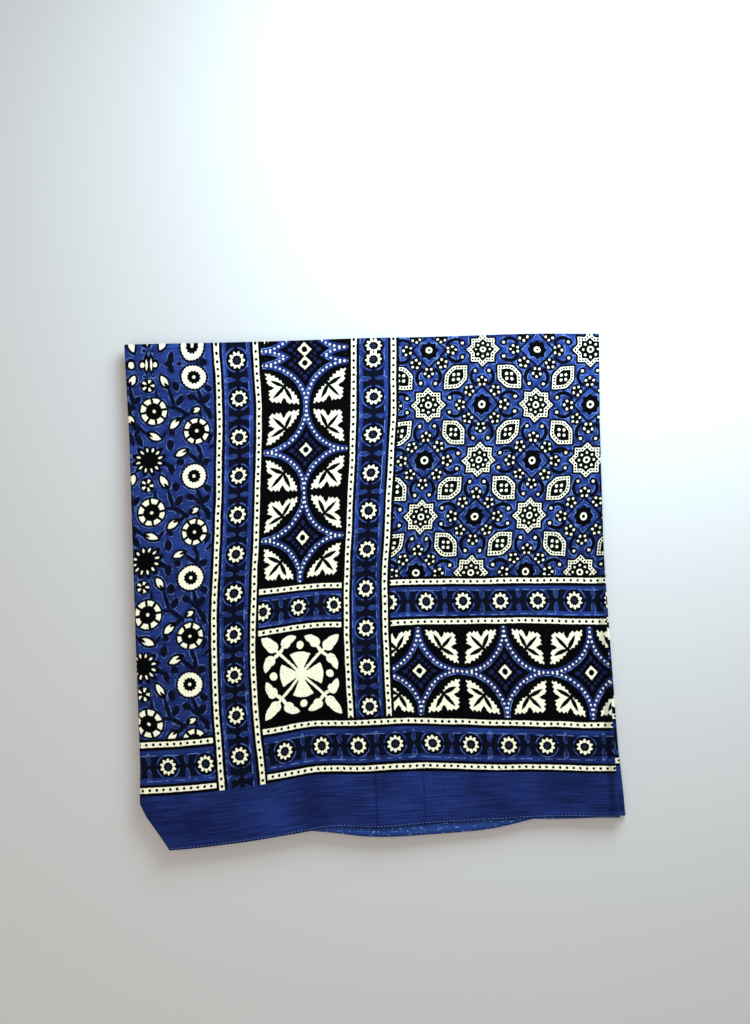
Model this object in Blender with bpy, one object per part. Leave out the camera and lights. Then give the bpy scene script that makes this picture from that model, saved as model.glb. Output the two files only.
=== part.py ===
"""A block-printed cotton ajrakh cloth, folded for the shelf and lying flat.

The cloth is first folded in half across its width, so that it is a double layer with one
fold along the far edge and both hems along the near edge. The double layer is then laid
back and forth over its length, with its first end tucked under the topmost run.
It is one sheet, so it is one solid. Metres, +Z up, the near edge towards -Y.
"""

import math

import bmesh
import bpy
import numpy as np

# Driving sizes of the sheet and of the stack that it lies in.
SHEET_THICKNESS = 0.0010
LAYER_PITCH = 0.00135
DOUBLE_PITCH = 2 * LAYER_PITCH
HALF_DOUBLE = (LAYER_PITCH + SHEET_THICKNESS) / 2
TURN_INSET = HALF_DOUBLE + LAYER_PITCH

# How finely the sheet is divided.
TURN_STEPS = 4
ACROSS = (0.0, 0.05, 0.13, 0.22, 0.32, 0.42, 0.49, 0.55, 0.62, 0.72, 0.83, 0.94, 1.0)
UP_THE_CLOTH = (0.0, 0.04, 0.09, 0.15, 0.23, 0.32, 0.43, 0.54, 0.65, 0.76, 0.87, 0.95, 1.0)

# Where the tucked end stops, and where the run above it comes down beyond that end,
# as shares of the way from the left folds to the right ones.
TUCK_REACH = 0.49
STEP_START, STEP_END = 0.50, 0.64

# Where the cloth turns back, seen from above: for each distance up the cloth, how far the
# turn's outermost point lies to the left or right. The first left turn is cut off at the
# near corner, where its hem swings round, and the second right turn shows past the first.
TURNS = {
    "up_the_cloth": (-0.245, -0.2286, -0.211, -0.198, -0.165, -0.060, 0.041, 0.155, 0.254),
    "first_left": (-0.2100, -0.2206, -0.2326, -0.2388, -0.2376, -0.2393, -0.2402, -0.2412, -0.2445),
    "first_right": (0.2284, 0.2282, 0.2279, 0.2272, 0.2264, 0.2262, 0.2277, 0.2308, 0.2355),
    "second_left": (-0.2180, -0.2262, -0.2300, -0.2322, -0.2336, -0.2352, -0.2366, -0.2380, -0.2398),
    "second_right": (0.2352, 0.2350, 0.2345, 0.2338, 0.2318, 0.2300, 0.2285, 0.2288, 0.2322),
    "last_end": (-0.2140, -0.2215, -0.2260, -0.2285, -0.2302, -0.2320, -0.2335, -0.2352, -0.2375),
}

# The hems and the far fold along the cloth, a row for each place: how many runs and shares
# of a run from the first left turn, then how far up the cloth the upper half's hem, the
# lower half's hem and the far fold lie. The tucked end counts back from the first turn.
EDGES = (
    # place, printed_hem, partner_hem, far_fold
    (-0.49, -0.2180, -0.2160, 0.2500),
    (0.00, -0.2430, -0.2290, 0.2539),
    (0.13, -0.2395, -0.2300, 0.2530),
    (0.28, -0.2325, -0.2290, 0.2520),
    (0.36, -0.2285, -0.2330, 0.2517),
    (0.46, -0.2312, -0.2392, 0.2516),
    (0.58, -0.2298, -0.2400, 0.2512),
    (0.72, -0.2292, -0.2375, 0.2508),
    (0.86, -0.2283, -0.2270, 0.2504),
    (1.00, -0.2316, -0.2285, 0.2480),
    (1.50, -0.2210, -0.2235, 0.2490),
    (2.00, -0.2060, -0.2080, 0.2510),
    (2.50, -0.2225, -0.2200, 0.2495),
    (3.00, -0.2316, -0.2290, 0.2470),
    (3.50, -0.2220, -0.2245, 0.2490),
    (4.00, -0.2050, -0.2075, 0.2500),
)

# Soft swells of the whole stack, each a share of its height at that place.
SWELLS = (
    # left_right, up_the_cloth, reach_left_right, reach_up, share
    (-0.190, -0.190, 0.090, 0.080, 0.16),
    (0.200, -0.200, 0.090, 0.090, 0.10),
    (-0.235, 0.080, 0.060, 0.200, 0.10),
    (0.120, 0.240, 0.180, 0.070, 0.09),
    (0.060, -0.020, 0.150, 0.130, 0.07),
)

# The printed cotton.
CLOTH_BLUE = (0.035, 0.060, 0.260, 1.0)
CLOTH_ROUGHNESS = 0.85


def smooth_step(value, start, end):
    """0 before start, 1 after end and an S-shaped rise between them."""
    share = min(1.0, max(0.0, (value - start) / (end - start)))
    return share * share * (3 - 2 * share)


def level_height(level):
    """Height of the middle of a double layer, counted from the lowest one."""
    return HALF_DOUBLE + level * DOUBLE_PITCH


def top_run_height(across):
    """The topmost run lies over the tucked end, and comes down one double layer beyond it."""
    return level_height(4) - DOUBLE_PITCH * smooth_step(across, STEP_START, STEP_END)


def run_stations(number, height_at, leftwards):
    """The stations of one run: place along the cloth, side shares, turn offset, height, normal."""
    shares = ACROSS[::-1] if leftwards else ACROSS
    side = -1 if leftwards else 1
    stations = []
    for across in shares:
        place = number + (1 - across if leftwards else across)
        stations.append((place, across, 0.0, height_at(across), (0.0, side)))
    return stations


def turn_stations(place, across, low, high, downwards):
    """The stations inside a turn, a half circle beyond the left or right end of two runs."""
    outward = 1 if across == 1.0 else -1
    middle = (low + high) / 2
    radius = (high - low) / 2
    stations = []
    for step in range(1, TURN_STEPS):
        angle = math.pi * step / TURN_STEPS
        lift = radius * math.cos(angle) * (1 if downwards else -1)
        reach = outward * radius * math.sin(angle)
        # The normal points out of a turn that winds clockwise, and into the other kind.
        clockwise = (outward == 1) == downwards
        sign = 1 if clockwise else -1
        normal = (sign * outward * math.sin(angle), sign * lift / radius)
        stations.append((place, across, reach, middle + lift, normal))
    return stations


def path_of_the_double_layer():
    """All stations from the tucked end to the last end, as the double layer is laid."""
    tuck = [
        (-across, across, 0.0, level_height(3), (0.0, -1.0))
        for across in reversed(ACROSS)
        if across <= TUCK_REACH
    ]
    return (
        tuck
        + turn_stations(0.0, 0.0, level_height(3), level_height(4), downwards=False)
        + run_stations(0, top_run_height, leftwards=False)
        + turn_stations(1.0, 1.0, level_height(2), level_height(3), downwards=True)
        + run_stations(1, lambda across: level_height(2), leftwards=True)
        + turn_stations(2.0, 0.0, level_height(1), level_height(2), downwards=True)
        + run_stations(2, lambda across: level_height(1), leftwards=False)
        + turn_stations(3.0, 1.0, level_height(0), level_height(1), downwards=True)
        + run_stations(3, lambda across: level_height(0), leftwards=True)
    )


def turn_names(place):
    """Which left and right turns bound the run at this place along the cloth."""
    if place < 1.0:
        return "first_left", "first_right"
    if place < 2.0:
        return "second_left", "first_right"
    if place < 3.0:
        return "second_left", "second_right"
    return "last_end", "second_right"


def along_table(table, column, place):
    """A column of EDGES at a place, eased from row to row so that the edge has no kinks."""
    rows = [row for row in table if row[0] <= place]
    before = rows[-1]
    after = table[min(len(rows), len(table) - 1)]
    if after[0] == before[0]:
        return before[column]
    share = smooth_step(place, before[0], after[0])
    return before[column] + (after[column] - before[column]) * share


def half_section(place):
    """The cloth's line over its width: up one half, round the far fold, down the other.

    Each point is (distance up the cloth, offset from the double layer's middle).
    """
    printed_hem, partner_hem, far_fold = (along_table(EDGES, c, place) for c in (1, 2, 3))
    radius = LAYER_PITCH / 2
    far_line = far_fold - radius
    points = [(printed_hem + (far_line - printed_hem) * up, radius) for up in UP_THE_CLOTH]
    for step in range(1, TURN_STEPS):
        angle = math.pi * step / TURN_STEPS
        points.append((far_line + radius * math.sin(angle), radius * math.cos(angle)))
    points += [
        (partner_hem + (far_line - partner_hem) * up, -radius) for up in UP_THE_CLOTH[::-1]
    ]
    return points


def swell(left_right, up):
    """How much taller the stack is here than where it lies pressed flat."""
    total = 1.0
    for middle, up_middle, reach, up_reach, share in SWELLS:
        away = ((left_right - middle) / reach) ** 2 + ((up - up_middle) / up_reach) ** 2
        total += share * math.exp(-away)
    return total


def sheet_rows():
    """The middle surface of the sheet, a row of points for each station of the path."""
    heights = TURNS["up_the_cloth"]
    rows = []
    for place, across, reach, height, (normal_x, normal_z) in path_of_the_double_layer():
        left_name, right_name = turn_names(place)
        row = []
        for up, offset in half_section(place):
            left = np.interp(up, heights, TURNS[left_name]) + TURN_INSET
            right = np.interp(up, heights, TURNS[right_name]) - TURN_INSET
            x = left + (right - left) * across + reach + normal_x * offset
            z = height + normal_z * offset
            # The lowest half layer stays flat on what the cloth lies on.
            lift = max(0.0, z - SHEET_THICKNESS / 2)
            row.append((x, up, z + lift * (swell(x, up) - 1)))
        rows.append(row)
    return rows


def centred(rows):
    """The rows moved so that the solid stands on the origin by the middle of its base.

    The solid reaches half its thickness past the rows at the side folds, at the far fold
    and below, and ends level with the rows at the hems.
    """
    skin = SHEET_THICKNESS / 2
    columns = [[point[axis] for row in rows for point in row] for axis in range(3)]
    middle_x = (min(columns[0]) + max(columns[0])) / 2
    middle_y = (min(columns[1]) + max(columns[1]) + skin) / 2
    base_z = min(columns[2]) - skin
    return [[(x - middle_x, y - middle_y, z - base_z) for x, y, z in row] for row in rows]


def build_sheet(name, rows):
    """A grid of faces through the rows, which Solidify then gives the sheet's thickness."""
    mesh = bpy.data.meshes.new(name)
    shape = bmesh.new()
    grid = [[shape.verts.new(point) for point in row] for row in rows]
    for first, second in zip(grid, grid[1:]):
        for a, b, c, d in zip(first, first[1:], second[1:], second):
            shape.faces.new((a, d, c, b))
    bmesh.ops.recalc_face_normals(shape, faces=shape.faces)
    shape.to_mesh(mesh)
    shape.free()
    sheet = bpy.data.objects.new(name, mesh)
    bpy.context.scene.collection.objects.link(sheet)
    thicken = sheet.modifiers.new("Thickness", "SOLIDIFY")
    thicken.thickness = SHEET_THICKNESS
    thicken.offset = 0.0
    thicken.use_even_offset = True
    mesh.shade_smooth()
    return sheet


def printed_cotton():
    """Indigo-dyed cotton, matt on its printed side."""
    material = bpy.data.materials.new("printed_cotton")
    material.use_nodes = True
    shader = material.node_tree.nodes["Principled BSDF"]
    shader.inputs["Base Color"].default_value = CLOTH_BLUE
    shader.inputs["Roughness"].default_value = CLOTH_ROUGHNESS
    shader.inputs["Metallic"].default_value = 0.0
    return material


def main():
    for old in list(bpy.data.objects):
        bpy.data.objects.remove(old, do_unlink=True)
    cloth = build_sheet("cloth", centred(sheet_rows()))
    cloth.data.materials.append(printed_cotton())


main()
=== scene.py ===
import math

import bpy
import numpy as np
from mathutils import Matrix, Vector


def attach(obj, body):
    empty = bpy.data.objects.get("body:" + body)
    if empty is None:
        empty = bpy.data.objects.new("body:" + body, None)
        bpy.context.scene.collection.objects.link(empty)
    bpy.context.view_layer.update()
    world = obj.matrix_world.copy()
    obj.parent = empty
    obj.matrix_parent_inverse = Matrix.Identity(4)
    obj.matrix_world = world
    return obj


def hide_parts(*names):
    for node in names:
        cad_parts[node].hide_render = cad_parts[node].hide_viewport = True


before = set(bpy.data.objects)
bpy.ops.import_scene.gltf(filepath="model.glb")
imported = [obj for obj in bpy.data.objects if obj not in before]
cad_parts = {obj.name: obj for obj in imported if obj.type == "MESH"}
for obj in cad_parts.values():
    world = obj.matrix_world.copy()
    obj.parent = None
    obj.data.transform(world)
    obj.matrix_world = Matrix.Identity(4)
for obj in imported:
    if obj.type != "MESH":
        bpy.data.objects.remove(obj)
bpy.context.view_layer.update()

# The view and the light. The cloth lies on a plain pale floor and is seen from almost
# straight above. A cool lamp stands past its far right corner, where the blue is brightest,
# a warm one lights it softly from the near left, and a wide one hangs over it.
CAMERA_PLACE = (-0.00698, 0.00944, 0.90426)
CAMERA_RIGHT = (0.99913, -0.04024, 0.01098)
CAMERA_UP = (0.03939, 0.99686, 0.06866)
CAMERA_BACK = (-0.01371, -0.06817, 0.99758)
FOCAL_PIXELS = 900.0
FRAME_HEIGHT_PIXELS = 1024.0
SENSOR_MM = 36.0
FLOOR_HALF = 4.0
FLOOR_DROP = 0.0002
FLOOR_TONE = (0.56, 0.53, 0.51, 1.0)
FLOOR_ROUGHNESS = 0.9
SKY_LIGHT = 0.27
LAMPS = (
    # name, place, aim, size, watts, colour
    ("window", (0.30, 0.58, 0.42), (0.16, 0.16, 0.0), 0.50, 11.0, (0.64, 0.86, 1.0)),
    ("room", (-0.9, -0.7, 1.6), (0.0, 0.0, 0.0), 1.8, 11.0, (1.0, 0.95, 0.86)),
    ("ceiling", (0.1, 0.0, 2.6), (0.0, 0.0, 0.0), 3.0, 23.5, (1.0, 0.98, 0.95)),
)


def put_in_scene(name, data):
    """A new object of this mesh, lamp or camera, linked to the scene."""
    thing = bpy.data.objects.new(name, data)
    bpy.context.scene.collection.objects.link(thing)
    return thing


def new_material(name):
    """A new material, with its node tree and its surface shader."""
    material = bpy.data.materials.new(name)
    material.use_nodes = True
    return material, material.node_tree, material.node_tree.nodes["Principled BSDF"]


def lay_floor():
    """A flat square, a little below the plane that the cloth rests on."""
    corners = np.array([(-1, -1, 0), (1, -1, 0), (1, 1, 0), (-1, 1, 0)]) * FLOOR_HALF
    mesh = bpy.data.meshes.new("floor")
    mesh.from_pydata((corners - (0, 0, FLOOR_DROP)).tolist(), [], [(0, 1, 2, 3)])
    paint, _, shader = new_material("pale_floor")
    shader.inputs["Base Color"].default_value = FLOOR_TONE
    shader.inputs["Roughness"].default_value = FLOOR_ROUGHNESS
    mesh.materials.append(paint)
    floor = put_in_scene("floor", mesh)


def hang_lamp(name, place, aim, size, watts, colour):
    """A square lamp whose face is square to the line from its place to its aim."""
    data = bpy.data.lights.new(name, "AREA")
    data.size = size
    data.energy = watts
    data.color = colour
    lamp = put_in_scene(name, data)
    lamp.location = place
    lamp.rotation_euler = (Vector(place) - Vector(aim)).to_track_quat("Z", "Y").to_euler()


def set_camera():
    """A camera turned to the three axes above. Its lens is to the sensor as the focal length
    in pixels is to the height of the picture."""
    data = bpy.data.cameras.new("view")
    data.sensor_width = SENSOR_MM
    data.lens = SENSOR_MM * FOCAL_PIXELS / FRAME_HEIGHT_PIXELS
    camera = put_in_scene("view", data)
    axes = Matrix((CAMERA_RIGHT, CAMERA_UP, CAMERA_BACK)).transposed()
    camera.matrix_world = Matrix.Translation(CAMERA_PLACE) @ axes.to_4x4()
    bpy.context.scene.camera = camera


lay_floor()
for lamp_row in LAMPS:
    hang_lamp(*lamp_row)
set_camera()
sky = bpy.data.worlds.new("sky")
sky.use_nodes = True
sky.node_tree.nodes["Background"].inputs["Color"].default_value = (1.0, 1.0, 1.0, 1.0)
sky.node_tree.nodes["Background"].inputs["Strength"].default_value = SKY_LIGHT
bpy.context.scene.world = sky
bpy.context.scene.view_settings.view_transform = "Standard"

# The folds of the sheet. It is one length of thin plain-weave cotton with a narrow rolled
# hem. It is doubled over its width, and the double layer is laid back and forth over its
# length, with the first end tucked under the topmost run. Sizes here are millimetres.
# "Along" counts down the length of the flat cloth from the tucked end, and "over" counts
# over its width from the near hem. "Right" and "up" are places on the folded cloth.
MM = 0.001
MIDDLE_RIGHT, MIDDLE_UP = -4.65, 5.7
SHEET = 0.62
HEM_SHEET = 1.0
HEM_WIDTH, HEM_STEP = 4.2, 0.6
LAYER_PITCH = 1.35
DOUBLE_PITCH = 2 * LAYER_PITCH
SOLID_SHEET = 1.0
HALF_DOUBLE = (LAYER_PITCH + SOLID_SHEET) / 2
TURN_INSET = HALF_DOUBLE + LAYER_PITCH
TURN_STEPS = 8
FAR_TURN_STEPS = 6
TURN_LENGTH = math.pi * LAYER_PITCH
TUCK_LENGTH = 227.0
TUCK_REACH = 0.49
STEP_START, STEP_END = 0.50, 0.64
FINE_GRID, COARSE_GRID = 3.7, 24.0

# The beaded lines of the print, by the middle of each on the flat cloth, and the line over
# which the print is mirrored.
LINE_A, LINE_B, LINE_C, LINE_D = 316.0, 355.0, 448.0, 486.5
FAR_D, FAR_C, FAR_B, FAR_A = 1718.0, 1756.5, 1849.5, 1888.5
FIRST_END_LINES, LAST_END_LINES = (45.0, 84.0), (2015.0, 2054.0)
LEVEL_1, LEVEL_2, LEVEL_3, LEVEL_4 = 54.0, 97.0, 193.0, 232.0
MIRROR = 465.5
LEVELS = (LEVEL_1, LEVEL_2, LEVEL_3, LEVEL_4)
MIRRORED_LEVELS = tuple(2 * MIRROR - level for level in reversed(LEVELS))
FAR_FOLD, FAR_FOLD_HALF = 481.0, 1.0
CLOTH_WIDTH = 972.0
BEADS_HALF = 5.3

# How far right the side turns and the upright beaded lines lie, for places up the cloth.
TURNS = {
    "up": (-245.0, -228.6, -211.0, -198.0, -165.0, -60.0, 41.0, 155.0, 254.0),
    "first_left": (-210.0, -220.6, -232.6, -238.8, -237.6, -239.3, -240.2, -241.2, -244.5),
    "first_right": (228.4, 228.2, 227.9, 227.2, 226.4, 226.2, 227.7, 230.8, 235.5),
    "second_left": (-218.0, -226.2, -230.0, -232.2, -233.6, -235.2, -236.6, -238.0, -239.8),
    "second_right": (235.2, 235.0, 234.5, 233.8, 231.8, 230.0, 228.5, 228.8, 232.2),
    "last_end": (-214.0, -221.5, -226.0, -228.5, -230.2, -232.0, -233.5, -235.2, -237.5),
}
UPRIGHT_LINES = {
    "up": (-235.0, -178.0, -120.0, -60.0, 3.0, 60.0, 120.0, 180.0, 252.0),
    "line_a": (-157.6, -158.4, -161.6, -162.6, -160.2, -156.0, -152.8, -150.5, -151.8),
    "line_b": (-118.2, -119.1, -123.3, -124.5, -121.8, -117.3, -114.0, -111.0, -113.1),
    "line_c": (-30.5, -30.7, -30.9, -32.2, -30.2, -26.1, -20.9, -16.6, -14.0),
    "line_d": (6.4, 6.2, 6.2, 6.3, 7.2, 12.4, 17.9, 23.2, 26.3),
}
# How far up the hems and the far fold lie. A place counts the runs and shares of a run
# along the double layer from the first left turn.
EDGES = {
    "place": (-0.49, 0.0, 0.13, 0.28, 0.36, 0.46, 0.58, 0.72, 0.86, 1.0, 1.5, 2.0, 2.5, 3.0, 3.5, 4.0),
    "printed_hem": (-218.0, -243.0, -239.5, -232.5, -228.5, -231.2, -229.8, -229.2,
                    -228.3, -231.6, -221.0, -206.0, -222.5, -231.6, -222.0, -205.0),
    "partner_hem": (-216.0, -229.0, -230.0, -229.0, -233.0, -239.2, -240.0, -237.5,
                    -227.0, -228.5, -223.5, -208.0, -220.0, -229.0, -224.5, -207.5),
    "far_fold": (250.0, 253.9, 253.0, 252.0, 251.7, 251.6, 251.2, 250.8,
                 250.4, 248.0, 249.0, 251.0, 249.5, 247.0, 249.0, 250.0),
}
# How much further up the level lines of the topmost run lie than an even stretch from hem to
# far fold would put them, at places along the cloth.
DRIFT_ALONG = (231.0, 316.0, 355.0, 448.0, 486.5, 541.0, 596.0, 651.0, 706.0)
DRIFT = {
    LEVEL_1: (1.9, 0.3, 0.5, 3.7, 3.5, 0.5, -3.6, -6.1, -7.1),
    LEVEL_2: (0.6, -0.5, 1.1, 4.2, 4.2, 0.9, -4.0, -7.2, -7.7),
    LEVEL_3: (2.2, -0.5, -0.1, 3.9, 3.2, 2.5, 0.5, -1.6, -2.0),
    LEVEL_4: (1.9, 0.6, 0.6, 3.5, 4.1, 2.9, 1.0, -0.4, 0.1),
    MIRROR: (-5.3, -3.3, -1.6, 1.1, 2.5, 2.4, 1.3, -0.9, 1.1),
}
DRIFT_FADE = 60.0
# Soft swells of the whole stack, each a share of its height.
SWELLS = (
    # right, up, reach_right, reach_up, share
    (-190.0, -190.0, 90.0, 80.0, 0.16),
    (200.0, -200.0, 90.0, 90.0, 0.10),
    (-235.0, 80.0, 60.0, 200.0, 0.10),
    (120.0, 240.0, 180.0, 70.0, 0.09),
    (60.0, -20.0, 150.0, 130.0, 0.07),
)
# Creases of the topmost layer, which rise above it or sink below it.
CREASES = (
    # right_1, up_1, right_2, up_2, half_width, rise
    (112.0, 146.0, 226.0, 152.0, 2.2, 0.75),
    (112.0, 142.0, 226.0, 147.5, 1.8, -0.35),
    (-236.0, -37.0, -112.0, -36.0, 2.0, 0.80),
    (-236.0, -41.0, -112.0, -40.0, 1.8, -0.40),
    (-18.0, -74.0, 66.0, -84.0, 2.4, 0.70),
    (-4.0, -80.0, 66.0, -88.5, 2.0, -0.35),
    (-226.0, -205.0, -120.0, -232.0, 6.0, 0.50),
    (48.0, -240.0, 52.0, -190.0, 5.0, -0.50),
    (0.0, -240.0, 3.0, -190.0, 5.0, 0.60),
    (-150.0, 250.0, -196.0, 60.0, 9.0, 0.30),
    (196.0, -215.0, 206.0, 60.0, 8.0, 0.35),
    (60.0, 60.0, 150.0, 78.0, 10.0, 0.25),
)
# Each crease wanders so far off its line in waves, and fades out and in at its two ends.
CREASE_WANDER, CREASE_WAVE = 1.5, 17.0
CREASE_FADE_OUT, CREASE_FADE_IN = 8.0, 14.0
# Slow waves cross the topmost layer, and it lies calm towards its side turns and far fold.
WAVE_RISE, WAVE_RIGHT, WAVE_UP, WAVE_BEND = 0.10, 23.0, 37.0, 61.0
CALM_AT_TURN = (2.0, 14.0)
CALM_AT_FAR_FOLD = (FAR_FOLD - 14.0, FAR_FOLD - 1.0)


def smooth_step(value, start, end):
    """3t^2 - 2t^3, where t goes from 0 at the start to 1 at the end."""
    share = np.clip((value - start) / (end - start), 0.0, 1.0)
    return share * share * (3.0 - 2.0 * share)


def curve_through(knots, values, at):
    """Cubic pieces from knot to knot, each with the slopes of the curve through the knots
    beside it, and level beyond the first and last knots."""
    knots = np.asarray(knots, float)
    values = np.asarray(values, float)
    slopes = np.gradient(values, knots)
    at = np.clip(at, knots[0], knots[-1])
    piece = np.clip(np.searchsorted(knots, at, side="right") - 1, 0, len(knots) - 2)
    width = knots[piece + 1] - knots[piece]
    t = (at - knots[piece]) / width
    start = values[piece] * (1 + 2 * t) * (1 - t) ** 2 + slopes[piece] * width * t * (1 - t) ** 2
    end = values[piece + 1] * t * t * (3 - 2 * t) + slopes[piece + 1] * width * t * t * (t - 1)
    return start + end


def divided(stops, spacing):
    """The stops, with even steps of at most the spacing between them. A stop is a number, or
    an array with a number for each place over the cloth."""
    stops = [np.asarray(stop, float) for stop in stops]
    rows = [stops[0][None]]
    for start, end in zip(stops, stops[1:]):
        count = max(1, math.ceil(float(np.max(np.abs(end - start))) / spacing - 0.001))
        shares = np.arange(1, count + 1).reshape((-1,) + (1,) * start.ndim) / count
        rows.append(start + (end - start) * shares)
    return np.concatenate(rows)


def both_sides(*lines):
    """The two edges of each beaded line, in order."""
    return [edge for line in lines for edge in (line - BEADS_HALF, line + BEADS_HALF)]


def section_over_the_width():
    """The doubled cloth over its width: straight up one half, a half circle round the far
    fold, and straight down the other half. Gives each row's place over the flat cloth, its
    offset from the middle of the double layer, its reach past the far line, and the place
    that sets how far up it lies."""
    radius = LAYER_PITCH / 2
    near = divided([0.0, HEM_WIDTH, HEM_WIDTH + HEM_STEP, *both_sides(*LEVELS), MIRROR,
                    FAR_FOLD - FAR_FOLD_HALF], FINE_GRID)
    rear = divided([FAR_FOLD + FAR_FOLD_HALF, *both_sides(*MIRRORED_LEVELS),
                    CLOTH_WIDTH - HEM_WIDTH - HEM_STEP, CLOTH_WIDTH - HEM_WIDTH, CLOTH_WIDTH], COARSE_GRID)
    angle = np.pi * np.arange(1, FAR_TURN_STEPS) / FAR_TURN_STEPS
    level_near, level_rear = np.zeros_like(near), np.zeros_like(rear)
    over = np.concatenate([near, FAR_FOLD - FAR_FOLD_HALF * np.cos(angle), rear])
    offset = np.concatenate([level_near + radius, radius * np.cos(angle), level_rear - radius])
    reach = np.concatenate([level_near, radius * np.sin(angle), level_rear])
    laid = np.where(np.abs(over - FAR_FOLD) < FAR_FOLD_HALF, FAR_FOLD, over)
    return over, offset, reach, laid


OVER, OFFSET, FAR_REACH, LAID_OVER = section_over_the_width()


def up_the_cloth(place, along):
    """How far up each row lies: evenly between its hem and the far line, plus the drift of
    the print on the topmost run, which fades out past that run's ends."""
    hem = curve_through(EDGES["place"], EDGES["printed_hem"], place)
    partner = curve_through(EDGES["place"], EDGES["partner_hem"], place)
    far = curve_through(EDGES["place"], EDGES["far_fold"], place) - LAYER_PITCH / 2
    levels = (0.0, *LEVELS, MIRROR, FAR_FOLD)
    level_drifts = [curve_through(DRIFT_ALONG, DRIFT[level], along) for level in levels[1:-1]]
    level_drifts = [0.0 * along] + level_drifts + [0.0 * along]
    drift = 0.0 * along
    for low, high, below, above in zip(levels, levels[1:], level_drifts, level_drifts[1:]):
        share = (LAID_OVER - low) / (high - low)
        drift = np.where((share >= 0) & (share <= 1), below + (above - below) * share, drift)
    past = np.maximum(0.0, np.maximum(DRIFT_ALONG[0] - along, along - DRIFT_ALONG[-1]))
    near = hem + (far - hem) * LAID_OVER / FAR_FOLD + drift * np.exp(-past / DRIFT_FADE)
    rear = far + (partner - far) * (LAID_OVER - FAR_FOLD) / (CLOTH_WIDTH - FAR_FOLD)
    return np.where(LAID_OVER <= FAR_FOLD, near, rear)


def run_sides(number, up):
    """How far right the flat part of a run starts and ends."""
    left_name = {2: "second_left", 1: "second_left", 3: "last_end"}.get(number, "first_left")
    right_name = "second_right" if number > 1 else "first_right"
    left = np.interp(up, TURNS["up"], TURNS[left_name]) + TURN_INSET
    right = np.interp(up, TURNS["up"], TURNS[right_name]) - TURN_INSET
    return left, right


def level_height(level):
    """How high the middle of a double layer lies, counted from the lowest one."""
    return HALF_DOUBLE + level * DOUBLE_PITCH


class Stretch:
    """A flat run or a side turn of the double layer. Its arrays have a row for each place
    along the cloth and a column for each place over it. The normal is the way from the middle
    of the double layer to its printed upper half."""

    def __init__(self, place, along, right, up, height, normal_right, normal_up):
        shape = np.zeros_like(along)
        self.place, self.along, self.right, self.up = place + shape, along, right + shape, up + shape
        self.height = height + shape
        self.normal_right, self.normal_up = normal_right + shape, normal_up + shape


def lay_top_run():
    """The topmost run. It starts and ends where the print reaches the side turns, and the
    print lies between the upright lines by even shares."""
    nothing = 0.0 * OVER
    start_up = up_the_cloth(nothing, nothing + DRIFT_ALONG[0])
    end_up = up_the_cloth(nothing + 1.0, nothing + DRIFT_ALONG[-1])
    start_line = curve_through(UPRIGHT_LINES["up"], UPRIGHT_LINES["line_a"], start_up)
    end_line = curve_through(UPRIGHT_LINES["up"], UPRIGHT_LINES["line_d"], end_up)
    start = LINE_A - (start_line - run_sides(0, start_up)[0])
    end = LINE_D + (run_sides(0, end_up)[1] - end_line)
    lines = [edge + nothing for edge in both_sides(LINE_A, LINE_B, LINE_C, LINE_D)]
    along = divided([start] + lines + [end], FINE_GRID)
    share = (along - start) / (end - start)
    up = up_the_cloth(share, along)
    left, right = run_sides(0, up)
    shown = [curve_through(UPRIGHT_LINES["up"], UPRIGHT_LINES[name], up)
             for name in ("line_a", "line_b", "line_c", "line_d")]
    flat = (LINE_A, LINE_B, LINE_C, LINE_D)
    spot = shown[0] + np.minimum(along - LINE_A, 0.0) + np.maximum(along - LINE_D, 0.0)
    for low_line, high_line, low, high in zip(shown, shown[1:], flat, flat[1:]):
        spot = spot + (high_line - low_line) * np.clip((along - low) / (high - low), 0.0, 1.0)
    across = np.clip((spot - left) / (right - left), 0.0, 1.0)
    across[0], across[-1] = 0.0, 1.0
    height = level_height(4) - DOUBLE_PITCH * smooth_step(across, STEP_START, STEP_END)
    return Stretch(across, along, left + (right - left) * across, up, height, 0.0, 1.0)


def lay_tuck():
    """The first end, laid from its place under the topmost run out to the first left turn."""
    stops = [0.0] + both_sides(*FIRST_END_LINES) + [TUCK_LENGTH]
    along = divided(stops, COARSE_GRID)[:, None] + 0.0 * OVER
    across = TUCK_REACH * (1.0 - along / TUCK_LENGTH)
    up = up_the_cloth(-across, along)
    left, right = run_sides(-1, up)
    return Stretch(-across, along, left + (right - left) * across, up, level_height(3), 0.0, -1.0)


def lay_run(number, level, start, rightwards, lines):
    """A run below the topmost one, as long as the stack is wide at each row, with rows of
    faces for the beaded lines that cross it."""
    nothing = 0.0 * OVER
    start_up = up_the_cloth(nothing + number, start)
    left, right = run_sides(number, start_up)
    end = start + right - left
    along = divided([start] + [edge + nothing for edge in both_sides(*lines)] + [end], COARSE_GRID)
    share = (along - start) / (end - start)
    up = up_the_cloth(number + share, along)
    left, right = run_sides(number, up)
    across = share if rightwards else 1.0 - share
    spot = left + (right - left) * across
    normal_up = 1.0 if rightwards else -1.0
    return Stretch(number + share, along, spot, up, level_height(level), 0.0, normal_up)


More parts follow.
